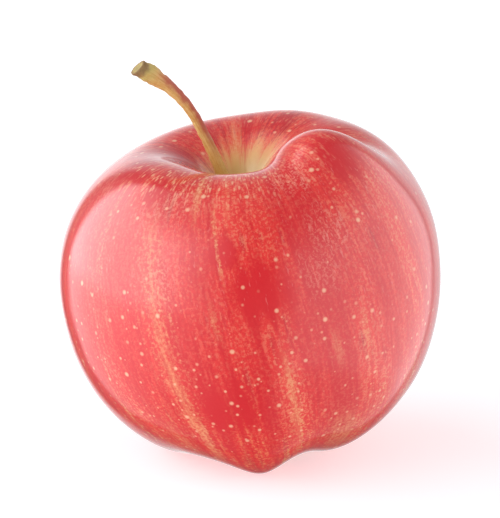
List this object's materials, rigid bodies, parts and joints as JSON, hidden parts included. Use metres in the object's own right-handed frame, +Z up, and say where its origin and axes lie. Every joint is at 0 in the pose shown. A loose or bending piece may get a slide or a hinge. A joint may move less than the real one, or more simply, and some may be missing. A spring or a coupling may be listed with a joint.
{
  "type": "apple",
  "caption": "Ripe red-striped apple with a long bent stem, standing on the lobes round its blossom end.",
  "frame": {"origin": "on the ground, under the middle of the apple's overall box", "axes": "+Z up, from the ground to the tip of the stem; +X to the side of the taller shoulder, away from the side that the stem leans over; -Y towards the side that is seen first"},
  "size_m": [0.0748, 0.075, 0.0791],
  "materials": {
    "skin": "natural waxy apple skin, glossy, crimson stripes over a yellow-orange ground",
    "stem": "smooth woody stem, yellow-green to reddish brown",
    "sepal": "dry, matt and slightly downy",
    "stamen": "dry and matt",
    "style": "dry and matt"
  },
  "bodies": {
    "root": {"fruit": "skin", "stem": "stem", "sepal_1": "sepal", "sepal_2": "sepal", "sepal_3": "sepal", "sepal_4": "sepal", "sepal_5": "sepal", "stamen_01": "stamen", "stamen_02": "stamen", "stamen_03": "stamen", "stamen_04": "stamen", "stamen_05": "stamen", "stamen_06": "stamen", "stamen_07": "stamen", "stamen_08": "stamen", "stamen_09": "stamen", "stamen_10": "stamen", "style_1": "style", "style_2": "style", "style_3": "style", "style_4": "style", "style_5": "style"}
  },
  "joints": []
}
